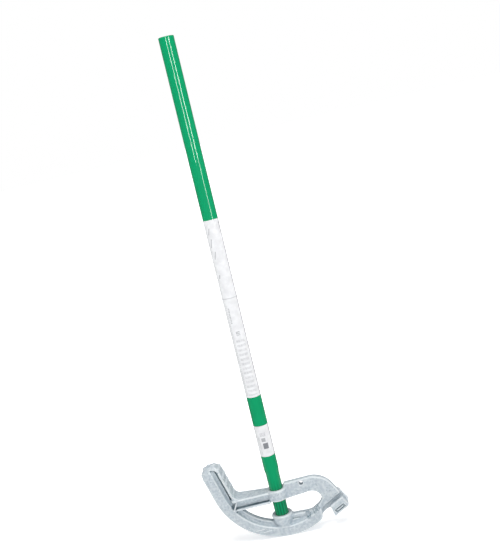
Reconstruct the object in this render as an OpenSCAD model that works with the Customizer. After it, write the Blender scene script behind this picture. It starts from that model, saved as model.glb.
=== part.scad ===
// Hand bender for thin-walled conduit: a cast aluminium head on a swaged steel handle tube.
// X runs from the foot pedal to the hook, Y away from the side with the open hook, Z up the handle.
// The origin lies on the handle's axis, level with the lowest line of the shoe.

/* [Handle] */
// Outside diameter of the handle tube
handle_d = 27.9; // [27:0.1:29]
// Bore of the handle tube
handle_bore = 22.1; // [20:0.1:23]
// Length of the handle tube from end to end
handle_len = 945; // [700:5:1200]
// Diameter of the swaged lower end
swage_d = 26.2; // [25.5:0.1:26.6]
// Length of the swaged end below its taper
swage_len = 106; // [100:1:125]
// Length of the taper between the two diameters
swage_taper = 13; // [8:1:16]

/* [Labels] */
// Height of the upper label's lower edge
upper_label_z = 284; // [250:1:320]
// Length of the upper label along the handle
upper_label_len = 349; // [200:1:400]
// Height of the lower label's lower edge
lower_label_z = 162; // [160:1:170]
// Length of the lower label along the handle
lower_label_len = 65; // [40:1:75]
// Thickness of the label film
label_t = 0.25; // [0.1:0.05:0.5]

/* [Shoe] */
// Outside diameter of the conduit that the groove takes
conduit_d = 23.4; // [22.5:0.1:24]
// Bend radius at the middle of the conduit
bend_r = 125; // [123:0.5:127]
// How far the groove's walls reach past the middle of the conduit
groove_lip = 4; // [3:0.5:5]
// Width of the shoe
shoe_w = 32; // [31:0.5:34]
// Thickness of metal behind the groove
shoe_wall = 4; // [3.5:0.5:5]
// Offset of the shoe's centre from the handle's axis, towards the hook
shoe_x = 5; // [4:0.5:6]
// Angle from straight down to the start of the bend, on the hook side
front_deg = 30; // [29:0.5:31]
// Angle from straight down to the foot of the pedal
back_deg = 75; // [74:0.5:76]
// Distance of the shoe's upright end from the handle's axis
shoe_end_x = 78; // [76:0.5:79]

/* [Pedal] */
// Straight length of the pedal up to the middle of its round tip
pedal_run = 51; // [46:1:54]
// Depth of the pedal from its back to the tread
pedal_depth = 36.5; // [35:0.5:38]
// Width of the foot tread
tread_w = 39; // [36:0.5:44]
// Thickness of the foot tread
tread_t = 4; // [3.5:0.5:5]
// Distance from one ridge of the tread to the next
ridge_pitch = 14.7; // [12:0.1:16]

/* [Bar and ring] */
// Height of the bar's top
bar_top = 93.5; // [92:0.5:95]
// Height of the bar's underside
bar_bottom = 68.5; // [67:0.5:70]
// Thickness of the bar's flanges
flange_t = 4; // [3:0.5:5]
// Outside diameter of the guide ring
ring_d = 39; // [36:0.5:42]
// Height of the guide ring
ring_h = 21.5; // [18:0.5:24]

/* [Socket] */
// Height of the socket's mouth
socket_top = 43; // [41:0.5:45]
// Height of the socket's floor
socket_floor = 20; // [19.5:0.5:21]
// Outside diameter of the socket at its mouth
socket_d = 42; // [39:0.5:44]
// Diameter of the screw that locks the handle
screw_d = 8; // [6:0.5:9]

/* [Arm and hook] */
// Thickness of the arm
arm_t = 13; // [11:0.5:15]
// Height of the arm's top
arm_top = 107; // [105:0.5:109]
// Diameter of the eye through the arm
eye_d = 8; // [6:0.5:9]
// Distance of the hook's end face past the start of the bend
hook_end = 66.5; // [64:0.5:69]
// Distance of the hook's saddle past the start of the bend
saddle_start = 33; // [31:0.5:36]
// Thickness of metal below the conduit in the saddle
saddle_wall = 4.2; // [4:0.1:6]

/* [Hidden] */
$fn = 96;

fit_gap = 0.05;
overlap = 1;
groove_r = conduit_d / 2 + 0.2;
shoe_r = bend_r + groove_lip;
groove_floor_r = bend_r - groove_r;
shoe_back_r = groove_floor_r - shoe_wall;
half_w = shoe_w / 2;
web_t = arm_t;
thin_web_t = 8;

swage_bore = handle_bore - (handle_d - swage_d);
socket_bore = swage_d + 2 * fit_gap;
screw_z = socket_floor + 12;
screw_pad_y = socket_d / 2;
screw_tip_y = swage_d / 2 + 0.35;
screw_head_y = screw_pad_y - 1;

tip_r = pedal_depth / 2;
nose_r = 31.5;
nose_start = 9;
ridge_r = 3;
ridge_proud = 1.6;

ring_top = bar_top + 2;
arm_left = 17;
arm_round = arm_top - 60.2;
arm_round_c = [68, arm_top - arm_round];
eye = [50, arm_top - 9];
window_round = 19;
window_round_c = [64, 59];
window_left_r = 101;
window_right_r = shoe_back_r - 2.5;
window_floor = 36.5;
saddle_r = bend_r + groove_r + saddle_wall;
mark_proud = 0.8;

// Frames on the shoe: its centre, the line of the conduit at the hook, and the line of the pedal's back.
// In the last two X runs along the line and -Z points out of the shoe.
module at_shoe() translate([shoe_x, 0, shoe_r]) children();
module at_hook() at_shoe() rotate([0, -front_deg, 0]) children();
module at_pedal() at_shoe() rotate([0, back_deg, 0]) children();

// Upright plates: a flat outline in X and Z, thick in Y
module plate(t) rotate([90, 0, 0]) linear_extrude(t, center = true) children();
module plate_between(y0, y1) translate([0, y1, 0]) rotate([90, 0, 0]) linear_extrude(y1 - y0) children();

// Section of the shoe: x is the radius and y the width
module shoe_section() difference() {
  translate([shoe_back_r, -half_w]) square([shoe_r - shoe_back_r, shoe_w]);
  translate([bend_r, 0]) circle(r = groove_r);
  translate([bend_r, -groove_r]) square([groove_lip + overlap, 2 * groove_r]);
}
module straight_run(length) rotate([0, 90, 0]) linear_extrude(length) shoe_section();

// The shoe with its groove, its short straight start at the hook and its straight back along the pedal
module shoe_end_outline() {
  corner = 6;
  x = shoe_end_x - corner;
  z = shoe_r - (shoe_r - corner - (x - shoe_x) * sin(front_deg)) / cos(front_deg);
  touch = [x + corner * sin(front_deg), z - corner * cos(front_deg)];
  polygon([[0, 0], [touch.x, 0], touch, [x, z], [shoe_end_x, z], [shoe_end_x, 60], [0, 60]]);
  translate([x, z]) circle(r = corner);
}
module shoe() {
  at_shoe() rotate([90, 0, 0]) rotate([0, 0, -90 - back_deg])
    rotate_extrude(angle = back_deg + front_deg) shoe_section();
  intersection() {
    at_hook() straight_run(25);
    plate(2 * shoe_w) shoe_end_outline();
  }
  at_pedal() translate([-pedal_run, 0, 0]) straight_run(pedal_run);
}

// Foot pedal: round nose, web, and the tread with its ridges, over a pocket on each side
module nose_plan() intersection() {
  translate([nose_start - pedal_run, nose_r - tread_w / 2]) circle(r = nose_r);
  translate([nose_start - pedal_run, tread_w / 2 - nose_r]) circle(r = nose_r);
  translate([-pedal_run - 30, -tread_w / 2]) square([30 + nose_start, tread_w]);
}
function nose_half(past) = sqrt(nose_r * nose_r - past * past) - nose_r + tread_w / 2;
module pedal_pocket() {
  round = 11;
  translate([-pedal_run + 2, -shoe_back_r]) square([pedal_run, shoe_back_r - shoe_r + pedal_depth - tread_t]);
  intersection() {
    translate([-pedal_run + 2, pedal_depth - tread_t - round - shoe_r]) circle(r = round);
    translate([-pedal_run - 20, -shoe_back_r]) square([40, 20]);
  }
}
module pedal_nose() difference() {
  intersection() {
    plate(shoe_w) translate([-pedal_run, tip_r - shoe_r]) circle(r = tip_r);
    translate([0, 0, -shoe_r - overlap]) linear_extrude(pedal_depth + 2 * overlap) nose_plan();
  }
  plate_between(-half_w - overlap, -thin_web_t / 2) pedal_pocket();
  plate_between(thin_web_t / 2, half_w + overlap) pedal_pocket();
}
module tread() translate([0, 0, pedal_depth - tread_t - shoe_r]) linear_extrude(tread_t) {
  nose_plan_end = nose_start - pedal_run;
  translate([nose_plan_end, -tread_w / 2]) square([16 - nose_plan_end, tread_w]);
  intersection() {
    nose_plan();
    translate([-pedal_run, -tread_w / 2]) square([nose_start + overlap, tread_w]);
  }
}
module ridge(width) rotate([90, 0, 0]) cylinder(r = ridge_r, h = width, center = true);
module tread_ridges() {
  sunk = ridge_r - ridge_proud;
  for (row = [0 : 3])
    translate([4.5 - row * ridge_pitch, 0, pedal_depth - sunk - shoe_r]) ridge(tread_w - 3);
  for (turn = [14 : 36 : 158])
    translate([-pedal_run, 0, tip_r - shoe_r]) rotate([0, -turn, 0]) translate([0, 0, tip_r - sunk])
      ridge(2 * nose_half(nose_start + tip_r * sin(turn)) - 3);
}
module pedal() at_pedal() {
  pedal_nose();
  plate(thin_web_t) translate([-pedal_run, tip_r - shoe_r]) square([pedal_run + 20, tip_r - tread_t + overlap]);
  tread();
  tread_ridges();
}

// Bar from the pedal to the ring: two flanges on a thin web, and a rib at the pedal's foot
module bar() {
  left = -88;
  right = -ring_d / 2 + 4;
  wide = tread_w / 2 + 0.5;
  translate([0, 0, bar_top - flange_t]) linear_extrude(flange_t)
    polygon([[left, -wide], [-74, -wide], [right, -14], [right, 14], [-74, wide], [left, wide]]);
  plate(shoe_w - 1) polygon([[left, bar_bottom], [right, bar_bottom + 3],
    [right, bar_bottom + flange_t + 3], [left, bar_bottom + flange_t]]);
  plate(thin_web_t) polygon([[left - 6, bar_bottom + overlap], [right, bar_bottom + overlap + 3],
    [right, bar_top - overlap], [left - 6, bar_top - overlap]]);
  plate(tread_w - 2) polygon([[-79, bar_top - overlap], [-75.5, bar_top - overlap],
    [-86, bar_bottom + 2], [-89.5, bar_bottom + 2]]);
}

// Outline of the head's window, which the handle crosses
module window_outline() intersection() {
  union() {
    polygon([[-90, 0], [arm_left, 0], [arm_left, bar_bottom + 2], [-90, bar_bottom]]);
    polygon([[0, window_floor], [window_round_c.x, window_floor],
      [window_round_c.x, window_round_c.y + window_round], [0, bar_bottom + 1]]);
    translate(window_round_c) circle(r = window_round);
  }
  union() {
    intersection() {
      translate([shoe_x, shoe_r]) circle(r = window_left_r);
      translate([-150, 0]) square([150, 150]);
    }
    intersection() {
      translate([shoe_x, shoe_r]) circle(r = window_right_r);
      translate([-overlap, window_floor]) square([150, 150]);
    }
  }
}

// Web inside the shoe, the arm, and the channel behind the hook, cut by the window
module web_outline() intersection() {
  translate([shoe_x, shoe_r]) circle(r = shoe_back_r + overlap);
  polygon([[-115, 0], [66, 0], [66, 50], [20, 45], [0, 60], [-60, 75], [-115, 75]]);
}
module arm_outline() {
  foot = [62, 30.3];
  end = [120, 63.8];
  shoulder = [arm_round_c.x + arm_round * cos(front_deg), arm_round_c.y + arm_round * sin(front_deg)];
  polygon([[12, bar_bottom + 4], [12, bar_top], [arm_left, bar_top], [arm_left, arm_top - 3.5],
    [arm_round_c.x, arm_top], shoulder, end, foot]);
  intersection() {
    translate(arm_round_c) circle(r = arm_round);
    translate(arm_round_c) polygon([[0, 0], [0, 60], [60, 60], [80 * cos(front_deg), 80 * sin(front_deg)]]);
  }
}
module hook_channel() at_hook() {
  plate_between(0, half_w) translate([2, -groove_floor_r]) square([hook_end - 2, shoe_wall]);
  plate_between(groove_r, half_w) difference() {
    translate([2, -bend_r - 6.5]) square([hook_end - 2, bend_r + 6.5 - shoe_back_r]);
    translate([saddle_start - 15, -bend_r - 32.3]) circle(r = 28);
  }
}
module web_pocket() polygon([[17, 22], [17, 31], [40, 31], [42.5, 27.5]]);
module web_and_arm() difference() {
  union() {
    plate(web_t) web_outline();
    plate(arm_t) arm_outline();
    hook_channel();
  }
  plate(3 * shoe_w) window_outline();
  plate_between(-half_w, -3) web_pocket();
  plate_between(3, half_w) web_pocket();
}

// Saddle of the hook, hollowed on its open side
module saddle() at_hook() difference() {
  plate(shoe_w) polygon([[saddle_start + 3, -bend_r], [saddle_start - 2.5, -saddle_r],
    [hook_end - 2.5, -saddle_r], [hook_end, -saddle_r + 3], [hook_end, -bend_r]]);
  plate_between(-half_w - overlap, -half_w + 3) translate([saddle_start + 4.5, -saddle_r + 4]) square([22, 6.5]);
}

// Raised marks of the casting on the open side: three rings on the web and three sight lines on the shoe
module ring_mark(x, z, d) translate([x, -web_t / 2 + overlap, z]) rotate([90, 0, 0]) difference() {
  cylinder(d = d, h = overlap + mark_proud);
  translate([0, 0, -overlap]) cylinder(d = d * 0.6, h = 3 * overlap + mark_proud);
}
module marks() {
  ring_mark(50, 33.5, 11);
  ring_mark(63, 38.2, 7);
  ring_mark(70.5, 42.5, 7);
  for (line = [0 : 2])
    translate([-56 + 9 * line, -half_w - mark_proud, 24.5 - 2.6 * line]) cube([16, mark_proud + overlap, 1.2]);
}

// Socket for the handle, with the pad that takes the lock screw
module socket() {
  foot = socket_floor - 1;
  translate([0, 0, foot]) cylinder(h = socket_top - foot, d1 = shoe_w - 1, d2 = socket_d);
  translate([0, swage_d / 2 + 1, screw_z]) rotate([-90, 0, 0])
    cylinder(d = 2 * screw_d, h = screw_pad_y - swage_d / 2 - 1);
}

module bender_head() color([0.76, 0.79, 0.82]) difference() {
  union() {
    shoe();
    pedal();
    bar();
    web_and_arm();
    saddle();
    socket();
    marks();
    translate([0, 0, ring_top - ring_h]) cylinder(d = ring_d, h = ring_h);
  }
  translate([0, 0, socket_floor]) cylinder(d = socket_bore, h = arm_top);
  translate([0, 0, screw_z]) rotate([-90, 0, 0]) cylinder(d = screw_d, h = screw_pad_y + overlap);
  translate([eye.x, 0, eye.y]) rotate([90, 0, 0]) cylinder(d = eye_d, h = 2 * arm_t, center = true);
  at_hook() rotate([0, 90, 0]) translate([bend_r, 0, 8]) cylinder(r = groove_r, h = hook_end);
}

module handle_tube() color([0.0, 0.62, 0.40]) translate([0, 0, socket_floor]) difference() {
  union() {
    cylinder(d = swage_d, h = swage_len);
    translate([0, 0, swage_len]) cylinder(d1 = swage_d, d2 = handle_d, h = swage_taper);
    translate([0, 0, swage_len + swage_taper]) cylinder(d = handle_d, h = handle_len - swage_len - swage_taper);
  }
  translate([0, 0, -overlap]) cylinder(d = swage_bore, h = swage_len + overlap);
  translate([0, 0, swage_len]) cylinder(d1 = swage_bore, d2 = handle_bore, h = swage_taper);
  translate([0, 0, swage_len + swage_taper]) cylinder(d = handle_bore, h = handle_len);
}

module set_screw() color([0.25, 0.26, 0.28]) translate([0, 0, screw_z]) rotate([-90, 0, 0]) difference() {
  r = screw_d / 2 - fit_gap;
  rotate_extrude() polygon([[0, screw_tip_y], [r - 1.5, screw_tip_y], [r, screw_tip_y + 1.5],
    [r, screw_head_y - 0.6], [r - 0.6, screw_head_y], [0, screw_head_y]]);
  translate([0, 0, screw_head_y - 3.5]) cylinder(d = screw_d / 2 / cos(30), h = 3.5 + overlap, $fn = 6);
}

module label(z, length) color([0.95, 0.96, 0.96]) translate([0, 0, z]) difference() {
  cylinder(d = handle_d + 2 * label_t, h = length);
  translate([0, 0, -overlap]) cylinder(d = handle_d + 0.04, h = length + 2 * overlap);
}
module upper_label() label(upper_label_z, upper_label_len);
module lower_label() label(lower_label_z, lower_label_len);

bender_head();
handle_tube();
set_screw();
upper_label();
lower_label();
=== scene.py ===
import math

import bpy
import numpy as np
from mathutils import Matrix, Vector


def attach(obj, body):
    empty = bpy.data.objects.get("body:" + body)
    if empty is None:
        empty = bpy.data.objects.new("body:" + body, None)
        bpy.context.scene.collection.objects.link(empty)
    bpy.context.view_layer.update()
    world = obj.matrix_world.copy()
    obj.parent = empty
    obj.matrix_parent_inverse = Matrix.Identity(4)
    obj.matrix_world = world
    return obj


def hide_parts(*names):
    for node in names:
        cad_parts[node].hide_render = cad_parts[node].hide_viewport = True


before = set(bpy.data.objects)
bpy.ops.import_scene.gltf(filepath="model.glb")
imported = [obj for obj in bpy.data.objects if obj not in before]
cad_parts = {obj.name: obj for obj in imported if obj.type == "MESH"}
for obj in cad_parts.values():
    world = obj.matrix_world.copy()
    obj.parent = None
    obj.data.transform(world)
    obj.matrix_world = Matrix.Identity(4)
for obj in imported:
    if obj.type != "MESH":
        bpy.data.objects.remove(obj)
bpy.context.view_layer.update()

# Head: one aluminium sand casting with a blasted skin, poured with fillets between all its walls.
# The shoe with the conduit groove, the foot pedal, the bar with the guide ring, the socket, the arm and the
# hook branch too often for one grid of two parameters, so the skin comes from one field of distances.
SHOE_X, SHOE_Z = 5.0, 129.0
SHOE_R, SHOE_BACK_R, BEND_R, GROOVE_R = 129.0, 109.1, 125.0, 11.9
SHOE_HALF, PLATE_HALF, THIN_HALF = 16.0, 6.5, 4.0
SHOE_END_X, SHOE_RUN = 78.0, 25.0
HOOK_TURN, PEDAL_TURN = math.radians(30.0), math.radians(75.0)
PEDAL_RUN, PEDAL_DEPTH, TREAD_HALF, TREAD_T = 51.0, 36.5, 19.5, 5.0
NOSE_START, NOSE_PAST, TIP_R = 9.0, 12.0, PEDAL_DEPTH / 2
BAR_LEFT, BAR_RIGHT, BAR_TOP, BAR_BOTTOM, FLANGE_T = -88.0, -15.5, 93.5, 68.5, 4.0
RING_R, RING_BOTTOM, RING_TOP = 19.5, 74.0, 95.5
HEEL_X, HEEL_R = -70.5, 14.0
SOCKET_FLOOR, SOCKET_TOP, SOCKET_BORE_R = 20.0, 43.0, 13.15
PAD_R, PAD_IN, PAD_OUT, SCREW_HOLE_R, SCREW_Z = 8.0, 13.0, 21.0, 4.0, 32.0
ARM_ROUND_X, ARM_ROUND_Z, ARM_ROUND = 68.0, 60.2, 46.8
EYE_X, EYE_Z, EYE_R = 50.0, 98.0, 4.0
WINDOW_END_X, WINDOW_END_Z, WINDOW_END_R = 64.0, 59.0, 19.0
HOOK_START, HOOK_END, ROOF_T = 2.0, 66.5, 4.0
ARCH_U, ARCH_OUT, ARCH_R = 18.0, 32.3, 28.0
SADDLE_NEAR, SADDLE_FAR, SADDLE_OUT, RECESS_DEEP = 119.2, 121.0, 141.1, 2.6
WALL_EDGE, TREAD_EDGE = 2.4, 3.4


def join(a, b, fillet):
    """The smaller of two distances, eased over a band as wide as fillet, which rounds the inner corner."""
    near = np.maximum(fillet - np.abs(a - b), 0.0)
    return np.minimum(a, b) - near * near / (4.0 * fillet)


def meet(a, b, edge):
    """The larger of two distances, eased over a band as wide as edge, which rounds the outer corner."""
    return -join(-a, -b, edge)


def cut(a, b, edge):
    """What is left of a outside b: the larger of a and minus b, with the new edge rounded."""
    return meet(a, -b, edge)


def between(v, low, high):
    """Distance to the layer of v between two values."""
    return np.maximum(low - v, v - high)


def outline(x, z, corners):
    """Distance to a closed outline: to the nearest of its sides, and below nought where an odd number of
    sides lies to the right of the point."""
    nearest = np.inf
    inside = False
    for (ax, az), (bx, bz) in zip(corners, corners[1:] + corners[:1]):
        ex, ez = bx - ax, bz - az
        along = np.clip(((x - ax) * ex + (z - az) * ez) / (ex * ex + ez * ez), 0.0, 1.0)
        nearest = np.minimum(nearest, np.hypot(x - ax - along * ex, z - az - along * ez))
        if ez:
            inside = inside ^ (((az > z) != (bz > z)) & (x < ax + (z - az) * ex / ez))
    return np.where(inside, -nearest, nearest)


def along_hook(x, z):
    """How far a point lies along the conduit past the start of the bend, and how far out of the shoe's
    centre."""
    dx, dz = x - SHOE_X, z - SHOE_Z
    c, s = math.cos(HOOK_TURN), math.sin(HOOK_TURN)
    return dx * c + dz * s, dx * s - dz * c


def along_pedal(x, z):
    """How far a point lies along the pedal, below nought towards its tip, and how far out of the shoe's
    centre."""
    dx, dz = x - SHOE_X, z - SHOE_Z
    c, s = math.cos(PEDAL_TURN), math.sin(PEDAL_TURN)
    return dx * c - dz * s, -dx * s - dz * c


def pedal_plan(u, y):
    """Distance in plan to the pedal: straight sides, drawn in towards the tip by two arcs whose middles lie
    past the middle line."""
    past = np.minimum(u + PEDAL_RUN - NOSE_START, 0.0)
    return np.hypot(past, np.abs(y) + NOSE_PAST) - NOSE_PAST - TREAD_HALF


def shoe_and_pedal(x, y, z):
    """The grooved band along the bend and its straight ends, run into the pedal's thin web, and the nose with
    the tread."""
    hook_u, hook_n = along_hook(x, z)
    u, n = along_pedal(x, z)
    depth = SHOE_R - n
    r = np.hypot(x - SHOE_X, z - SHOE_Z)
    r = np.where(hook_u > 0.0, hook_n, np.where(u < 0.0, n, r))
    band = meet(between(r, SHOE_BACK_R, SHOE_R), x - SHOE_END_X, 7.0)
    band = np.maximum(band, np.maximum(-PEDAL_RUN - u, hook_u - SHOE_RUN))
    band = meet(band, np.abs(y) - SHOE_HALF, WALL_EDGE)
    web = np.maximum(between(depth, 18.0, PEDAL_DEPTH - 2.0), between(u, -PEDAL_RUN - 8.0, 20.0))
    web_half = np.interp(depth, (19.0, 26.2, 27.2), (12.0, 9.8, THIN_HALF))
    web = np.maximum(web, (np.abs(y) - web_half) * 0.6)
    groove = np.minimum(np.hypot(r - BEND_R, y), np.maximum(np.abs(y), BEND_R - r + GROOVE_R)) - GROOVE_R
    band = cut(join(band, web, 6.0), groove, 1.8)
    nose = np.hypot(u + PEDAL_RUN, depth - TIP_R) - TIP_R
    pocket = np.hypot(np.minimum(u + PEDAL_RUN - 2.0, 0.0), depth - PEDAL_DEPTH + TREAD_T + 11.0) - 11.0
    pocket = np.maximum(pocket, np.maximum(SHOE_R - SHOE_BACK_R - depth, u - 20.0))
    nose = cut(nose, np.maximum(pocket, THIN_HALF - np.abs(y)), 1.0)
    nose = meet(nose, np.abs(y) - SHOE_HALF, TREAD_EDGE)
    tread = np.maximum(between(depth, PEDAL_DEPTH - TREAD_T, PEDAL_DEPTH), between(u, -PEDAL_RUN, 16.0))
    nose = meet(np.minimum(nose, tread), pedal_plan(u, y), TREAD_EDGE)
    return band, nose


def bar(x, y, z):
    """Two flanges, the top one tapering in plan, the rib at the pedal's foot, and the web between them."""
    part = (x - BAR_LEFT) / (BAR_RIGHT - BAR_LEFT)
    run = between(x, BAR_LEFT, BAR_RIGHT)
    half = np.interp(x, (-74.0, BAR_RIGHT), (20.0, 14.0))
    top = meet(between(z, BAR_TOP - FLANGE_T, BAR_TOP), np.abs(y) - half, WALL_EDGE)
    bottom = z - BAR_BOTTOM - 3.0 * part
    low = meet(between(bottom, 0.0, FLANGE_T), np.abs(y) - SHOE_HALF + 0.5, WALL_EDGE)
    rib = outline(x, z, [(-79.0, 92.5), (-75.5, 92.5), (-86.0, 70.5), (-89.5, 70.5)])
    rib = meet(rib, np.abs(y) - TREAD_HALF + 1.0, 2.0)
    web = np.maximum(between(z, BAR_BOTTOM + 1.0, BAR_TOP - 1.0), between(x, BAR_LEFT - 6.0, BAR_RIGHT))
    web_half = np.interp(bottom, (5.4, 6.4, 21.0), (6.5, 9.0, 10.5))
    web = np.maximum(web, (np.abs(y) - web_half) * 0.7)
    return np.maximum(run, top), np.maximum(run, low), rib, web


def heel(x, y, z):
    """The wide fillet between the tread and the bar's top: the corner's outline less a round bar."""
    corner = outline(x, z, [(-84.5, 90.5), (HEEL_X, 91.0), (HEEL_X, BAR_TOP), (-84.0, 103.8), (-86.9, 103.0)])
    fill = np.maximum(corner, HEEL_R - np.hypot(x - HEEL_X, z - BAR_TOP - HEEL_R))
    return meet(fill, np.abs(y) - TREAD_HALF + 0.3, 3.0)


def web_and_arm(x, y, z):
    """The plate in the handle's plane: the web inside the shoe and the arm, less the windows and the
    pockets."""
    r = np.hypot(x - SHOE_X, z - SHOE_Z)
    web = outline(x, z, [(-115.0, 0.0), (66.0, 0.0), (66.0, 50.0), (20.0, 45.0), (0.0, 60.0),
                         (-60.0, 75.0), (-115.0, 75.0)])
    web = np.maximum(web, r - SHOE_BACK_R - 1.0)
    c, s = math.cos(HOOK_TURN), math.sin(HOOK_TURN)
    shoulder = (ARM_ROUND_X + ARM_ROUND * c, ARM_ROUND_Z + ARM_ROUND * s)
    arm = outline(x, z, [(12.0, 72.5), (12.0, 93.5), (17.0, 103.5), (ARM_ROUND_X, 107.0), shoulder,
                         (120.0, 63.8), (62.0, 30.3)])
    corner = np.hypot(x - ARM_ROUND_X, z - ARM_ROUND_Z) - ARM_ROUND
    corner = np.maximum(corner, np.maximum(ARM_ROUND_X - x, (x - ARM_ROUND_X) * s - (z - ARM_ROUND_Z) * c))
    flat = np.minimum(web, np.minimum(arm, corner))
    way = outline(x, z, [(-90.0, 0.0), (17.0, 0.0), (17.0, 70.5), (-90.0, 68.5)])
    way = np.minimum(way, outline(x, z, [(0.0, 36.5), (64.0, 36.5), (64.0, 78.0), (0.0, 69.5)]))
    way = np.minimum(way, np.hypot(x - WINDOW_END_X, z - WINDOW_END_Z) - WINDOW_END_R)
    left = np.maximum(meet(way, r - 101.0, 5.0), x)
    right = np.maximum(meet(meet(way, r - SHOE_BACK_R + 2.5, 5.0), 36.5 - z, 6.0), -1.0 - x)
    plate = meet(cut(flat, np.minimum(left, right), 0.5), np.abs(y) - PLATE_HALF, 3.0)
    pocket = outline(x, z, [(17.0, 28.0), (17.0, 33.0), (33.0, 31.0), (35.0, 28.5)])
    return cut(plate, np.maximum(pocket, 4.5 - np.abs(y)), 1.2)


def hook(x, y, z):
    """The hook's roof and its back wall, arched below, and the saddle, higher on its open side, with the
    recess and its tongue there."""
    u, n = along_hook(x, z)
    roof = np.maximum(between(n, SHOE_BACK_R, SHOE_BACK_R + ROOF_T), between(y, 0.0, SHOE_HALF))
    back = np.maximum(between(n, SHOE_BACK_R, BEND_R + 6.5), between(y, GROOVE_R, SHOE_HALF))
    back = cut(back, np.hypot(u - ARCH_U, n - BEND_R - ARCH_OUT) - ARCH_R, 1.5)
    channel = meet(np.minimum(roof, back), between(u, HOOK_START, HOOK_END), WALL_EDGE)
    saddle = outline(u, n, [(36.2, SADDLE_NEAR), (29.7, SADDLE_OUT), (64.0, SADDLE_OUT), (HOOK_END, 138.1),
                            (HOOK_END, SADDLE_NEAR)])
    saddle = np.where(y > 0.0, np.maximum(saddle, SADDLE_FAR - n), saddle)
    saddle = meet(saddle, np.abs(y) - SHOE_HALF, WALL_EDGE)
    recess = np.maximum(between(u, 37.5, 59.5), between(n, 130.2, 137.4))
    tongue = np.maximum(between(u, 41.0, 56.0), between(n, 132.7, 134.9))
    recess = np.maximum(np.maximum(recess, -tongue), y + SHOE_HALF - RECESS_DEEP)
    saddle = cut(saddle, recess, 1.0)
    return np.minimum(channel, saddle)


def head_casting(x, y, z):
    """The whole casting: its walls joined with fillets, then bored for the handle, the screw, the eye and
    the conduit."""
    shoe, nose = shoe_and_pedal(x, y, z)
    top, low, rib, bar_web = bar(x, y, z)
    frame_bar = join(join(join(top, rib, 1.5), bar_web, 3.0), low, 1.0)
    upright = np.hypot(x, y)
    ring = meet(upright - RING_R, between(z, RING_BOTTOM, RING_TOP), 3.0)
    cone = (upright - np.interp(z, (19.0, SOCKET_TOP), (15.5, 21.0))) * 0.97
    socket = meet(cone, between(z, SOCKET_FLOOR - 1.0, SOCKET_TOP), TREAD_EDGE)
    across = np.hypot(x, z - SCREW_Z)
    pad = meet(across - PAD_R, between(y, PAD_IN, PAD_OUT), WALL_EDGE)
    body = join(shoe, nose, 1.2)
    body = np.minimum(join(body, frame_bar, 3.0), heel(x, y, z))
    body = join(body, web_and_arm(x, y, z), 5.0)
    body = join(body, join(socket, pad, 4.0), 4.0)
    body = join(body, ring, 1.6)
    body = join(body, hook(x, y, z), 0.8)
    u, n = along_hook(x, z)
    body = cut(body, np.maximum(np.hypot(n - BEND_R, y) - GROOVE_R, 8.0 - u), 1.5)
    body = cut(body, np.maximum(upright - SOCKET_BORE_R, SOCKET_FLOOR - z), 1.5)
    body = cut(body, np.maximum(across - SCREW_HOLE_R, -y), 0.8)
    return cut(body, np.hypot(x - EYE_X, z - EYE_Z) - EYE_R, 1.5)


def skin(field, low, high, pitch):
    """The field's zero surface on a cubic grid: a vertex in each cell that it crosses, at the mean of the
    crossings on the cell's edges, and a quad round each grid edge that it crosses."""
    axes = [np.arange(a, b + pitch, pitch) for a, b in zip(low, high)]
    values = field(*np.meshgrid(*axes, indexing="ij", sparse=True))
    cells = [len(axis) - 1 for axis in axes]
    total, count = np.zeros((*cells, 3)), np.zeros(cells)
    edges = []
    for axis in range(3):
        level = np.moveaxis(values, axis, 0)
        first, last = level[:-1], level[1:]
        crossed = (first < 0.0) != (last < 0.0)
        part = np.where(crossed, first / np.where(crossed, first - last, 1.0), 0.0)
        sums, counts = np.moveaxis(total, axis, 0), np.moveaxis(count, axis, 0)
        others = [k for k in range(3) if k != axis]
        for a in (0, 1):
            for b in (0, 1):
                here = np.s_[:, a:level.shape[1] - 1 + a, b:level.shape[2] - 1 + b]
                sums[..., axis] += part[here]
                sums[..., others[0]] += a * crossed[here]
                sums[..., others[1]] += b * crossed[here]
                counts += crossed[here]
        edges.append((crossed[:, 1:-1, 1:-1], (first < 0.0)[:, 1:-1, 1:-1]))
    used = np.argwhere(count > 0)
    spot = tuple(used.T)
    points = np.array(low) + pitch * (used + total[spot] / count[spot][:, None])
    number = np.full(cells, -1)
    number[spot] = np.arange(len(used))
    quads = []
    for axis, (crossed, outward) in enumerate(edges):
        cell = np.moveaxis(number, axis, 0)
        ring = np.stack([cell[:, :-1, :-1], cell[:, 1:, :-1], cell[:, 1:, 1:], cell[:, :-1, 1:]], -1)
        turned = outward ^ (axis == 1)
        quads += [ring[crossed & turned], ring[crossed & ~turned][:, ::-1]]
    return points, np.concatenate(quads)


def slope_of(field, points):
    """The field's gradient at the points, from differences over a tenth of a millimetre."""
    steps = 0.05 * np.eye(3)
    return np.stack([field(*(points + d).T) - field(*(points - d).T) for d in steps], axis=1) / 0.1


def bend_of(field, points, reach):
    """How far the surface bends away: the field's mean over six points at this reach, which is above nought
    on outer edges."""
    steps = reach * np.eye(3)
    return np.mean([field(*(points + d).T) + field(*(points - d).T) for d in steps], axis=0) / 2


def settle(field, points, rounds):
    """Moves the points along the gradient onto the zero surface, each round by value over slope, and by no
    more than half a millimetre."""
    for _ in range(rounds):
        slope = slope_of(field, points)
        move = field(*points.T) / np.maximum((slope ** 2).sum(axis=1), 0.2)
        points = points - np.clip(move, -0.5, 0.5)[:, None] * slope
    return points


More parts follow.
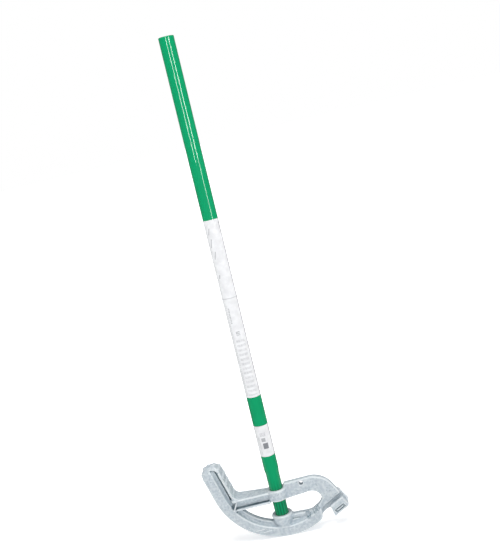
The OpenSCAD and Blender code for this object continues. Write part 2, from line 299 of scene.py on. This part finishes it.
def make_piece(name, points, blocks, **measures):
    """A smooth mesh from points in millimetres and blocks of faces, whose rows are corner numbers, with
    numbers per point for its finish."""
    mesh = bpy.data.meshes.new(name)
    mesh.from_pydata((points * 0.001).tolist(), [], [face for block in blocks for face in block.tolist()])
    mesh.shade_smooth()
    for key, values in measures.items():
        mesh.attributes.new(key, "FLOAT", "POINT").data.foreach_set("value", values.astype(np.float32))
    piece = bpy.data.objects.new(name, mesh)
    bpy.context.scene.collection.objects.link(piece)
    return piece


def tint(r, g, b):
    """A colour of the screen, 0 to 255, as the linear light that the shader takes."""
    parts = [v / 255 / 12.92 if v < 10.3 else ((v / 255 + 0.055) / 1.055) ** 2.4 for v in (r, g, b)]
    return (*parts, 1.0)


class Wire:
    """A socket of a finish. Arithmetic on it adds Math nodes, and node() adds any other node."""

    def __init__(self, tree, socket=None):
        self.tree = tree
        self.socket = socket

    def node(self, kind, settings=None, sockets=None, output=0):
        """A node of this type, with its settings made first and then its sockets filled or linked."""
        made = self.tree.nodes.new(kind)
        for key, value in (settings or {}).items():
            setattr(made, key, value)
        for key, value in (sockets or {}).items():
            if isinstance(value, Wire):
                self.tree.links.new(value.socket, made.inputs[key])
            else:
                made.inputs[key].default_value = value
        return Wire(self.tree, made.outputs[output])

    def math_node(self, operation, *values):
        """A Math node that works this operation on the values or wires."""
        return self.node("ShaderNodeMath", {"operation": operation}, dict(enumerate(values)))

    def __add__(self, other):
        return self.math_node("ADD", self, other)

    def __sub__(self, other):
        return self.math_node("SUBTRACT", self, other)

    def __rsub__(self, other):
        return self.math_node("SUBTRACT", other, self)

    def __mul__(self, other):
        return self.math_node("MULTIPLY", self, other)

    def __truediv__(self, other):
        return self.math_node("DIVIDE", self, other)

    def __rtruediv__(self, other):
        return self.math_node("DIVIDE", other, self)

    __radd__ = __add__
    __rmul__ = __mul__

    def place(self):
        """The point's place on the piece, in metres."""
        return self.node("ShaderNodeTexCoord", output="Object")

    def parts(self):
        """The three numbers of this vector."""
        made = self.node("ShaderNodeSeparateXYZ", None, {0: self}).socket.node
        return [Wire(self.tree, socket) for socket in made.outputs]

    def measure(self, name):
        """The number of this name that the mesh carries at each point."""
        return self.node("ShaderNodeAttribute", {"attribute_name": name}, output="Fac")

    def ramp(self, low, high):
        """Nought below low, one above high, and a smooth rise between them."""
        return self.node("ShaderNodeMapRange", {"interpolation_type": "SMOOTHSTEP"},
                         {0: self, 1: low, 2: high, 3: 0.0, 4: 1.0})

    def mix(self, a, b):
        """Colour a where this is nought and b where it is one."""
        return self.node("ShaderNodeMix", {"data_type": "RGBA"}, {0: self, 6: a, 7: b}, 2)

    def noise(self, place, scale, detail=3.0, roughness=0.5):
        """Cloudy noise from 0 to 1, with this many clouds to a metre."""
        return self.node("ShaderNodeTexNoise", None,
                         {"Vector": place, "Scale": scale, "Detail": detail, "Roughness": roughness})

    def bump(self, height, strength, distance):
        """A normal raised by height, which is worth distance in metres."""
        return self.node("ShaderNodeBump", None,
                         {"Strength": strength, "Distance": distance, "Height": height})


def new_finish(name):
    """A material with its bare shader: the material, a Wire on its tree, and the shader's node."""
    material = bpy.data.materials.new(name)
    material.use_nodes = True
    tree = material.node_tree
    return material, Wire(tree), tree.nodes["Principled BSDF"]


def set_finish(wire, shader, **inputs):
    """Fills or links the shader's sockets, named with underscores for spaces."""
    for key, value in inputs.items():
        socket = shader.inputs[key.replace("_", " ")]
        if isinstance(value, Wire):
            wire.tree.links.new(value.socket, socket)
        else:
            socket.default_value = value


GRID_LOW, GRID_HIGH, GRID_PITCH = (-137.6, -25.0, -3.4), (136.0, 25.0, 172.0), 1.2
SETTLE_ROUNDS, CREVICE_REACH, HOLLOW_REACH, EDGE_REACH = 3, 4.0, 11.0, 2.0
casting_points, casting_quads = skin(head_casting, GRID_LOW, GRID_HIGH, GRID_PITCH)
casting_points = settle(head_casting, casting_points, SETTLE_ROUNDS)
casting_slope = slope_of(head_casting, casting_points)
casting_slope /= np.linalg.norm(casting_slope, axis=1)[:, None]


def closeness(reach):
    """How near other walls are: nought where the field at this reach off the skin is as large as the reach,
    and one where it is nought or less."""
    return 1.0 - np.clip(head_casting(*(casting_points + reach * casting_slope).T) / reach, 0.0, 1.0)


# The crevice and hollow measures carry painted shade into the finish; the edge measure carries painted
# highlight and wear.
head = make_piece("head_casting", casting_points, [casting_quads],
                  crevice=closeness(CREVICE_REACH), hollow=closeness(HOLLOW_REACH),
                  edge=np.clip(bend_of(head_casting, casting_points, EDGE_REACH), 0.0, 1.0))


def casting_finish():
    """Blasted aluminium: pale blue-grey, mottled at three sizes, with painted shade that is a little bluer in
    the hollows and dark in the narrow corners, brighter and smoother on the edges, partly wear and partly
    painted highlight, with a fine grain."""
    material, wire, shader = new_finish("blasted_aluminium")
    place = wire.place()
    crevice_shade = wire.measure("crevice").ramp(0.4, 0.9)
    hollow_shade = wire.measure("hollow").ramp(0.2, 0.9)
    wear_and_highlight = wire.measure("edge").ramp(0.07, 0.25)
    cloud = wire.noise(place, 55.0).ramp(0.3, 0.7)
    patch = wire.noise(place, 190.0, 2.0).ramp(0.35, 0.65)
    speck = wire.noise(place, 380.0, 2.0).ramp(0.55, 0.75)
    grain = wire.noise(place, 900.0, 4.0, 0.65)
    colour = cloud.mix(tint(184, 196, 205), tint(196, 205, 212))
    colour = (patch * 0.7).mix(colour, tint(220, 227, 230))
    colour = (speck * 0.8).mix(colour, tint(142, 159, 170))
    # Painted shade: a little bluer and darker where walls close in round a hollow.
    colour = (hollow_shade * 0.3).mix(colour, tint(150, 168, 178))
    # Painted shade: dark teal in the narrow corners and slits.
    colour = (crevice_shade * 0.72).mix(colour, tint(84, 112, 124))
    # Painted highlight on outer edges, partly also wear, which the lower roughness carries.
    colour = (wear_and_highlight * 0.75).mix(colour, tint(229, 235, 238))
    normal = wire.bump(grain + patch * 0.5, 0.5, 0.0006)
    set_finish(wire, shader, Base_Color=colour, Metallic=0.2, Specular_IOR_Level=0.25,
               Roughness=0.62 + 0.12 * speck - 0.14 * wear_and_highlight, Normal=normal)
    return material


casting = casting_finish()
head.data.materials.append(casting)
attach(head, "head")
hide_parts("bender_head")

# Foot grips: low rounded ridges across the tread and round the pedal's nose, cast with the head.
# They keep a boot from slipping off, and each is lighter all over by a small share of the casting's edge
# brightening.
RIDGE_PITCH, RIDGE_R, RIDGE_PROUD, RIDGE_SWELL, RIDGE_SHORT = 14.7, 3.8, 1.6, 0.13, 1.5
FIRST_RIDGE, TREAD_RIDGES, NOSE_R, RIDGE_LIGHTEN = 4.5, 4, NOSE_PAST + TREAD_HALF, 0.15
NOSE_RIDGES = np.radians(np.arange(14.0, 159.0, 36.0))


def ring_quads(rows, columns, closed):
    """Quads between neighbouring rows whose columns run round once; closed joins the last row to the
    first."""
    row = np.arange(rows if closed else rows - 1)[:, None]
    column = np.arange(columns)[None, :]
    after, beside = (row + 1) % rows, (column + 1) % columns
    corners = [row * columns + column, row * columns + beside,
               after * columns + beside, after * columns + column]
    return np.stack(corners, -1).reshape(-1, 4)


def capped(rings):
    """Points and blocks of faces of rings that run upwards, with a fan of triangles to the middle of each end
    ring."""
    rows, columns, _ = rings.shape
    points = np.concatenate([rings.reshape(-1, 3), rings[[0, -1]].mean(axis=1)])
    column = np.arange(columns)
    beside = (column + 1) % columns
    top = (rows - 1) * columns
    low_fan = np.stack([beside, column, np.full(columns, rows * columns)], -1)
    high_fan = np.stack([column + top, beside + top, np.full(columns, rows * columns + 1)], -1)
    return points, [ring_quads(rows, columns, False), low_fan, high_fan]


def rod_rings(half, thick, wide, swell=0.0, wave=6.5):
    """Rings up a rod of this half length: an ellipse with half axes thick and wide, drawn in almost to a
    point over the domed ends, which are as long as it is wide, and swelling by a part of itself as a cosine
    of the height."""
    z = half * np.sin(np.linspace(-0.5, 0.5, 41) * np.pi)[:, None]
    turn = np.arange(20)[None, :] / 20 * 2 * np.pi
    past = np.clip((np.abs(z) - half + wide) / wide, 0.0, 0.99)
    size = np.sqrt(1.0 - past * past) * (1.0 + swell * np.cos(2 * np.pi * z / wave))
    return np.stack([thick * size * np.cos(turn), wide * size * np.sin(turn), z + 0 * turn], -1)


def gather(shapes):
    """Several shapes as one: their points in a row, and each one's corner numbers moved past those before
    it."""
    starts = np.cumsum([0] + [len(points) for points, _ in shapes])
    moved = [block + start for start, (_, blocks) in zip(starts, shapes) for block in blocks]
    return np.concatenate([points for points, _ in shapes]), moved


def ridge(place, out, half):
    """A ridge across the pedal at a place in its plane, sunk so that it stands proud of the metal by its
    share."""
    points, blocks = capped(rod_rings(half, RIDGE_R, RIDGE_R, RIDGE_SWELL))
    axes = np.array([out, np.cross((0.0, 1.0, 0.0), out), (0.0, 1.0, 0.0)])
    return points @ axes + place - (RIDGE_R - RIDGE_PROUD) * out, blocks


pedal_x = np.array([math.cos(PEDAL_TURN), 0.0, -math.sin(PEDAL_TURN)])
pedal_z = np.array([math.sin(PEDAL_TURN), 0.0, math.cos(PEDAL_TURN)])
tread_foot = np.array([SHOE_X, 0.0, SHOE_Z]) + (PEDAL_DEPTH - SHOE_R) * pedal_z
ridges = [ridge(tread_foot + (FIRST_RIDGE - row * RIDGE_PITCH) * pedal_x, pedal_z, TREAD_HALF - RIDGE_SHORT)
          for row in range(TREAD_RIDGES)]
for turn in NOSE_RIDGES:
    out = math.cos(turn) * pedal_z - math.sin(turn) * pedal_x
    past = NOSE_START + TIP_R * math.sin(turn)
    half = math.sqrt(NOSE_R ** 2 - past ** 2) - NOSE_R + TREAD_HALF - RIDGE_SHORT
    ridges.append(ridge(tread_foot - PEDAL_RUN * pedal_x - TIP_R * pedal_z + TIP_R * out, out, half))
grip_points, grip_blocks = gather(ridges)
# The ridges take a fixed part of the edge brightening, which on the casting is partly wear and partly painted
# highlight.
grips = make_piece("tread_ridges", grip_points, grip_blocks, edge=np.full(len(grip_points), RIDGE_LIGHTEN))
grips.data.materials.append(casting)
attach(grips, "head")

# Handle: a steel tube, drawn down at its lower end to fit the socket, and painted gloss green.
# The set screw clamps the drawn end, which has shallow flutes; the top end is cut off square and open.
TUBE_R, TUBE_BORE_R, SWAGE_R, SWAGE_BORE_R = 14.1, 11.05, 12.9, 10.2
TUBE_BOTTOM, SWAGE_TOP, TAPER_TOP, TUBE_TOP = 20.0, 126.0, 139.0, 965.0
FLUTES, FLUTE_DEEP, FLUTE_TOP, FLUTE_FADE = 14, 0.6, 120.0, 40.0
TUBE_COLUMNS = 96


def tube_rings():
    """Rings up the outside, over the rim and down the bore, and each point's share of a flute: the cube of a
    raised cosine of the turn, fading out above the guide ring. That share of the depth comes off the drawn
    end's radius."""
    turn = np.arange(TUBE_COLUMNS) / TUBE_COLUMNS * 2 * np.pi
    swage = np.interp(np.linspace(0, 1, 9), (0, 1), (SWAGE_TOP, TAPER_TOP))
    ease = (1 - np.cos(np.linspace(0, np.pi, 9))) / 2
    up_z = np.concatenate([[TUBE_BOTTOM, TUBE_BOTTOM + 0.5], np.linspace(22, 120, 50), swage,
                           np.linspace(142, 963, 60), [TUBE_TOP - 0.7, TUBE_TOP - 0.2, TUBE_TOP]])
    up_r = np.concatenate([[SWAGE_R - 0.5], np.full(51, SWAGE_R), SWAGE_R + (TUBE_R - SWAGE_R) * ease,
                           np.full(60, TUBE_R), [TUBE_R, TUBE_R - 0.2, TUBE_R - 0.7]])
    down_z = np.concatenate([[TUBE_TOP, TUBE_TOP - 0.6], np.linspace(963, 142, 30), swage[::-1],
                             np.linspace(120, 22, 10), [TUBE_BOTTOM]])
    down_r = np.concatenate([[TUBE_BORE_R + 0.5], np.full(31, TUBE_BORE_R),
                             TUBE_BORE_R - (TUBE_R - SWAGE_R) * ease, np.full(11, SWAGE_BORE_R)])
    z = np.concatenate([up_z, down_z])[:, None]
    r = np.concatenate([up_r, down_r])[:, None]
    outside = (np.arange(len(z)) < len(up_z))[:, None]
    flute = (0.5 - 0.5 * np.cos(FLUTES * turn)) ** 3 * np.clip((FLUTE_TOP - z) / FLUTE_FADE, 0, 1) * outside
    r = r - FLUTE_DEEP * flute
    return np.stack([r * np.cos(turn), r * np.sin(turn), z + 0 * turn], -1), flute.ravel()


rings, flute = tube_rings()
handle = make_piece("handle", rings.reshape(-1, 3), [ring_quads(len(rings), TUBE_COLUMNS, True)], flute=flute)


def handle_finish():
    """Gloss green enamel on steel: a little orange peel, thin scuffs along the tube, painted shade in the
    flutes, and bare in the bore."""
    material, wire, shader = new_finish("green_enamel")
    place = wire.place()
    x, y, _ = place.parts()
    outside = wire.math_node("SQRT", x * x + y * y).ramp(0.0116, 0.0122)
    stretched = wire.node("ShaderNodeMapping", None, {0: place, 3: (1.0, 1.0, 0.06)})
    scuff = wire.noise(stretched, 700.0, 3.0, 0.6).ramp(0.6, 0.75)
    cloud = wire.noise(place, 25.0)
    peel = wire.noise(place, 350.0, 2.0)
    colour = cloud.mix(tint(0, 146, 95), tint(0, 156, 102))
    colour = (scuff * 0.25).mix(colour, tint(6, 168, 115))
    # Painted shade: darker green in the flutes of the drawn end.
    colour = (wire.measure("flute") * 0.85).mix(colour, tint(0, 84, 54))
    colour = outside.mix(tint(70, 80, 76), colour)
    set_finish(wire, shader, Base_Color=colour, Roughness=0.4 + 0.15 * scuff, Specular_IOR_Level=0.05,
               Normal=wire.bump(peel, 0.03, 0.0004), Coat_Weight=1.0, Coat_Roughness=0.03)
    return material


handle.data.materials.append(handle_finish())
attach(handle, "handle")
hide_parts("handle_tube")

# Labels: two sleeves of white printed film, wrapped round the tube with a lap at the back.
# The print is only a few plain grey rows, bars and strokes; a plain grey band down each side of each label is
# painted shade where the tube turns from the light.
LABEL_SKIN, FILM_T, LABEL_COLUMNS = 14.12, 0.22, 120
PATCH_SOFT, PRINT_AND_SHADE_MOST = 0.3, 0.95


def label_rings(low, high):
    """Rings up the outside and down the inside of a thin sleeve, a little thicker over the lap at the
    back."""
    turn = np.arange(LABEL_COLUMNS) / LABEL_COLUMNS * 2 * np.pi
    lap = np.clip(1.0 - np.abs(turn - np.pi / 2) / 0.2, 0.0, 1.0)
    z = np.concatenate([[low, low + 0.05], np.linspace(low + 2, high - 2, 40),
                        [high - 0.05, high, high, low]])
    thick = np.concatenate([[0.6], np.ones(42), [0.6, 0.0, 0.0]])[:, None]
    r = LABEL_SKIN + FILM_T * thick * (1.0 - 0.25 * (1.0 - lap))
    return np.stack([r * np.cos(turn), r * np.sin(turn), z[:, None] + 0 * turn], -1)


def film_finish(name, grey_patches):
    """White film, faintly clouded, with grey patches of print and of painted shade: each patch lies between
    two distances round the tube from the front and two heights, in millimetres, with its strength, the pitch
    of its rows, or nought for none, and its lean to the side with height."""
    material, wire, shader = new_finish(name)
    place = wire.place()
    x, y, z = place.parts()
    round_mm = wire.math_node("ARCTAN2", x, 0.0 - y) * LABEL_SKIN
    z_mm = z * 1000.0
    cloud = wire.noise(place, 90.0).ramp(0.3, 0.7)
    stretched = wire.node("ShaderNodeMapping", None, {0: place, 3: (1.0, 1.0, 0.35)})
    uneven = wire.noise(stretched, 900.0, 1.0).ramp(0.42, 0.6)
    print_and_shade = 0.0
    for low, high, bottom, top, strength, pitch, lean in grey_patches:
        s = round_mm - (z_mm - bottom) * lean
        patch = s.ramp(low - PATCH_SOFT, low + PATCH_SOFT)
        patch = patch * (1.0 - s.ramp(high - PATCH_SOFT, high + PATCH_SOFT))
        patch = patch * z_mm.ramp(bottom - PATCH_SOFT, bottom + PATCH_SOFT)
        patch = patch * (1.0 - z_mm.ramp(top - PATCH_SOFT, top + PATCH_SOFT))
        if pitch:
            wave = wire.math_node("PINGPONG", z_mm, pitch / 2) / (pitch / 2)
            patch = patch * wave.ramp(0.35, 0.65) * (0.35 + 0.65 * uneven)
        print_and_shade = patch * strength + print_and_shade
    print_and_shade = wire.math_node("MINIMUM", print_and_shade, PRINT_AND_SHADE_MOST)
    colour = cloud.mix(tint(218, 219, 221), tint(230, 231, 233))
    # Grey print and the painted shade at the sides share one grey.
    colour = print_and_shade.mix(colour, tint(60, 66, 80))
    set_finish(wire, shader, Base_Color=colour, Roughness=0.34 + 0.1 * cloud, Specular_IOR_Level=0.4,
               Normal=wire.bump(cloud, 0.06, 0.0005))
    return material


def make_label(node, low, high, grey_patches):
    """The sleeve of this node between two heights, with its grey patches, riding on the handle."""
    rings = label_rings(low, high)
    label = make_piece(node + "_film", rings.reshape(-1, 3), [ring_quads(len(rings), LABEL_COLUMNS, True)])
    label.data.materials.append(film_finish(node + "_print_and_shade", grey_patches))
    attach(label, "handle")
    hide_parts(node)


make_label("lower_label", 167.0, 229.5, [(-2.5, 7.2, 183.0, 194.5, 0.75, 0.0, 0.0),
                                        (-3.5, 4.0, 197.5, 205.0, 0.5, 0.0, 0.0),
                                        (-5.0, 6.0, 208.0, 215.5, 0.55, 2.0, 0.0),
                                        (-10.0, -7.0, 171.0, 206.0, 0.4, 2.2, 0.0),
                                        # Painted shade: these last two patches are grey bands down the
                                        # label's two sides.
                                        (-21.0, -15.5, 167.0, 229.5, 0.2, 0.0, 0.0),
                                        (18.5, 26.0, 167.0, 229.5, 0.5, 0.0, 0.0)])
make_label("upper_label", 288.0, 633.0, [(-6.0, 11.0, 292.0, 404.0, 0.24, 9.0, 0.0),
                                        # Painted shade: these next two patches are grey bands down the
                                        # label's two sides.
                                        (-21.0, -15.5, 288.0, 633.0, 0.2, 0.0, 0.0),
                                        (18.5, 26.0, 288.0, 633.0, 0.5, 0.0, 0.0),
                                        (-11.5, -8.5, 292.0, 470.0, 0.3, 4.0, 0.0),
                                        (-2.0, 5.0, 410.0, 419.0, 0.95, 3.0, 0.0),
                                        (-7.0, -4.5, 435.0, 466.0, 0.85, 3.0, 0.0),
                                        (-20.0, 20.0, 483.0, 484.5, 0.3, 0.0, 0.0),
                                        (-9.0, -7.0, 523.0, 530.0, 0.5, 0.0, 0.25),
                                        (-8.5, -7.0, 560.0, 574.0, 0.5, 0.0, 0.3),
                                        (-10.5, -8.8, 582.0, 598.0, 0.5, 0.0, 0.25),
                                        (-9.5, -8.0, 606.0, 618.0, 0.5, 0.0, 0.3)])

# Set screw: a short steel grub screw with a hexagon socket, screwed through the pad at the back of the head.
# Rolled thread, blackened. Tightened, its tip presses on the handle's drawn end; here it is just clear of it.
SCREW_R, THREAD_PITCH, THREAD_DEPTH = 3.95, 1.25, 0.55
TIP_Y, FACE_Y, TIP_CHAMFER, FACE_CHAMFER = 13.45, 20.0, 1.2, 0.8
HEX_HALF, HEX_DEEP = 2.0, 3.5


def screw_rings():
    """Rings from the tip to the face and down the socket; the thread is a wave of height and turn together,
    and the socket's radius is the half width over the cosine of the angle to the nearest flat."""
    turn = np.arange(72) / 72 * 2 * np.pi
    body = np.linspace(TIP_Y + TIP_CHAMFER, FACE_Y - FACE_CHAMFER, 48)[:, None]
    wave = 0.5 - 0.5 * np.cos(2 * np.pi * (body / THREAD_PITCH - turn / (2 * np.pi)))
    ends = np.clip(np.minimum(body - TIP_Y - TIP_CHAMFER, FACE_Y - FACE_CHAMFER - body) / 0.5, 0, 1)
    thread = SCREW_R - THREAD_DEPTH + THREAD_DEPTH * (wave - 1.0) * ends * 0.9 + THREAD_DEPTH * ends
    hexagon = HEX_HALF / np.cos((turn + np.pi / 6) % (np.pi / 3) - np.pi / 6)
    level = np.array([TIP_Y, TIP_Y])[:, None]
    tip = np.array([1.2, 2.6])[:, None]
    face = np.array([SCREW_R - 1.0, SCREW_R - 1.4])[:, None]
    bore = np.array([1.08, 1.0, 1.0])[:, None] * hexagon
    y = np.concatenate([level, body, np.array([FACE_Y, FACE_Y])[:, None],
                        np.array([FACE_Y, FACE_Y - 0.3, FACE_Y - HEX_DEEP])[:, None]])
    r = np.concatenate([tip + 0 * turn, thread, face + 0 * turn, bore])
    return np.stack([r * np.sin(turn), y + 0 * r, SCREW_Z + r * np.cos(turn)], -1)


screw = make_piece("lock_screw", *capped(screw_rings()))


def screw_finish():
    """Blackened steel with patches worn brighter and smoother."""
    material, wire, shader = new_finish("black_steel")
    place = wire.place()
    worn = wire.noise(place, 700.0, 3.0).ramp(0.5, 0.75)
    colour = worn.mix(tint(52, 54, 58), tint(110, 112, 116))
    set_finish(wire, shader, Base_Color=colour, Metallic=0.9, Roughness=0.5 - 0.15 * worn,
               Normal=wire.bump(worn, 0.1, 0.0002))
    return material


screw.data.materials.append(screw_finish())
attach(screw, "screw")
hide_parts("set_screw")

# Cast marks: raised rings on the web beside the socket and two raised sight lines on the shoe's side,
# poured with the head, for lining up the conduit.
MARK_PROUD, LINE_HALF, LINE_WIDE = 1.2, 9.5, 1.4
RING_COLUMNS, RING_ROWS = 40, 12


def front_of_casting(x, z):
    """The open side's distance from the handle's plane at each point, found by halving between air and
    metal."""
    air, metal = np.full(x.shape, -24.0), np.full(x.shape, -4.0)
    for _ in range(16):
        middle = (air + metal) / 2
        inside = head_casting(x, middle, z) < 0.0
        air, metal = np.where(inside, air, middle), np.where(inside, middle, metal)
    return metal


def mark_ring(x, z, half):
    """A ring lying on the open side: an ellipse of the mark's width carried round the middle line."""
    turn = np.arange(RING_COLUMNS)[None, :] / RING_COLUMNS * 2 * np.pi
    tube = np.arange(RING_ROWS)[:, None] / RING_ROWS * 2 * np.pi
    middle, thick = half * 0.8, half * 0.24
    r = middle + thick * np.cos(tube)
    x, z = x + r * np.cos(turn), z + r * np.sin(turn)
    y = front_of_casting(x, z) - MARK_PROUD * np.sin(tube)
    return np.stack([x, y, z], -1).reshape(-1, 3), [ring_quads(RING_ROWS, RING_COLUMNS, True)]


def sight_line(x, z, turn):
    """A thin raised line on the shoe's side, level but for a small turn."""
    points, blocks = capped(rod_rings(LINE_HALF, MARK_PROUD, LINE_WIDE))
    along = np.array([math.cos(turn), 0.0, math.sin(turn)])
    axes = np.array([(0.0, -1.0, 0.0), np.cross(along, (0.0, -1.0, 0.0)), along])
    return points @ axes + (x, -SHOE_HALF, z), blocks


mark_shapes = [mark_ring(50.0, 33.3, 5.5), mark_ring(64.0, 39.0, 3.7), mark_ring(71.0, 42.8, 3.5),
               sight_line(-47.0, 22.5, 0.05), sight_line(-33.5, 17.2, 0.14)]
mark_points, mark_blocks = gather(mark_shapes)
# Only the two lines get painted highlight on top; all the marks get painted shade round their feet through
# the crevice measure, the rings over more of their height.
proud = np.clip(head_casting(*mark_points.T) / MARK_PROUD, 0.0, 1.0)
wear_and_highlight = np.repeat((0.0, 0.0, 0.0, 1.0, 1.0), [len(points) for points, _ in mark_shapes])
marks = make_piece("cast_marks", mark_points, mark_blocks,
                   edge=0.4 * proud * wear_and_highlight, crevice=0.95 - (0.6 + 0.35 * wear_and_highlight) * proud)
marks.data.materials.append(casting)
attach(marks, "head")

# Stage: a wide pale floor under the shoe, tall strip lights that draw the two streaks on the handle, soft
# broad lights, and the photograph's camera, which leans.
FLOOR_COLUMNS, FLOOR_Z = 96, -0.2
floor_turn = np.arange(FLOOR_COLUMNS) / FLOOR_COLUMNS * 2 * np.pi
floor_rings = np.array([0.0, 300.0, 1200.0, 6000.0, 60000.0])[:, None]
floor_points = np.stack([floor_rings * np.cos(floor_turn), floor_rings * np.sin(floor_turn),
                         FLOOR_Z + 0 * floor_rings * floor_turn], -1).reshape(-1, 3)
floor_quads = ring_quads(len(floor_rings), FLOOR_COLUMNS, False)[:, ::-1]
floor = make_piece("floor", floor_points, [floor_quads])
floor_material, floor_wire, floor_shader = new_finish("pale_floor")
floor_place = floor_wire.place()
floor_cloud = floor_wire.noise(floor_place, 3.0)
floor_far = floor_wire.node("ShaderNodeVectorMath", {"operation": "LENGTH"}, {0: floor_place}, "Value")
floor_far = floor_far.ramp(0.2, 1.3)
set_finish(floor_wire, floor_shader, Base_Color=floor_cloud.mix(tint(247, 247, 248), tint(251, 251, 251)),
           Roughness=0.8, Specular_IOR_Level=0.1, Emission_Strength=1.0,
           Emission_Color=floor_far.mix((0.45, 0.45, 0.45, 1.0), (1.0, 1.0, 1.0, 1.0)))
floor.data.materials.append(floor_material)
floor.visible_glossy = False

# The backdrop is white to the camera, dim in reflections, and a soft fill for matt surfaces.
world = bpy.data.worlds.new("studio")
world.use_nodes = True
studio = Wire(world.node_tree)
seen = studio.node("ShaderNodeLightPath", output="Is Camera Ray")
matt = studio.node("ShaderNodeLightPath", output="Is Diffuse Ray")
backdrop = world.node_tree.nodes["Background"]
set_finish(studio, backdrop, Color=(1.0, 1.0, 1.0, 1.0), Strength=0.1 + 0.9 * seen + 0.37 * matt)
bpy.context.scene.world = world
bpy.context.scene.view_settings.view_transform = "Standard"


def soft_light(name, place, aim, wide, tall, power):
    """An area light at a place, in metres, facing a point, as wide and as tall as given."""
    lamp = bpy.data.lights.new(name, "AREA")
    lamp.shape = "RECTANGLE"
    lamp.size, lamp.size_y = wide, tall
    lamp.energy = power
    stand = bpy.data.objects.new(name, lamp)
    stand.location = place
    stand.rotation_mode = "QUATERNION"
    stand.rotation_quaternion = (Vector(aim) - Vector(place)).to_track_quat("-Z", "Y")
    bpy.context.scene.collection.objects.link(stand)
    return stand


# The strips show only in the gloss, and the fill only on matt surfaces.
left_strip = soft_light("left_strip", (-0.11, -2.49, 1.06), (0.0, 0.0, 1.06), 0.36, 0.80, 13.6)
right_strip = soft_light("right_strip", (1.69, -1.85, 1.07), (0.0, 0.0, 1.07), 0.36, 0.78, 17.7)
right_tail = soft_light("right_tail", (1.69, -1.85, 0.53), (0.0, 0.0, 0.53), 0.36, 0.30, 4.0)
for strip in (left_strip, right_strip, right_tail):
    strip.visible_diffuse = False
fill = soft_light("fill", (1.7, -2.6, 0.9), (0.0, 0.0, 0.1), 1.6, 1.2, 4.0)
fill.visible_glossy = False
soft_light("top", (0.3, -0.8, 4.2), (0.0, 0.0, 0.0), 2.2, 2.2, 110.0)

AZIMUTH, ELEVATION, ROLL = math.radians(6.236), math.radians(10.042), math.radians(-13.444)
FOCAL_PX, TALL_PX, SENSOR_MM = 857.54, 554, 36.0
DISTANCE, AIM = 1.58695, Vector((0.04628, 0.0, 0.51235))
back = Vector((math.sin(AZIMUTH) * math.cos(ELEVATION), -math.cos(AZIMUTH) * math.cos(ELEVATION),
               math.sin(ELEVATION)))
level = Vector((math.cos(AZIMUTH), math.sin(AZIMUTH), 0.0))
rise = back.cross(level)
right = math.cos(ROLL) * level + math.sin(ROLL) * rise
up = math.cos(ROLL) * rise - math.sin(ROLL) * level
lens = bpy.data.cameras.new("camera")
lens.sensor_width = SENSOR_MM
lens.lens = FOCAL_PX / TALL_PX * SENSOR_MM
lens.clip_end = 200.0
camera = bpy.data.objects.new("camera", lens)
turned = Matrix((right, up, back)).transposed().to_4x4()
camera.matrix_world = Matrix.Translation(AIM + DISTANCE * back) @ turned
bpy.context.scene.collection.objects.link(camera)
bpy.context.scene.camera = camera
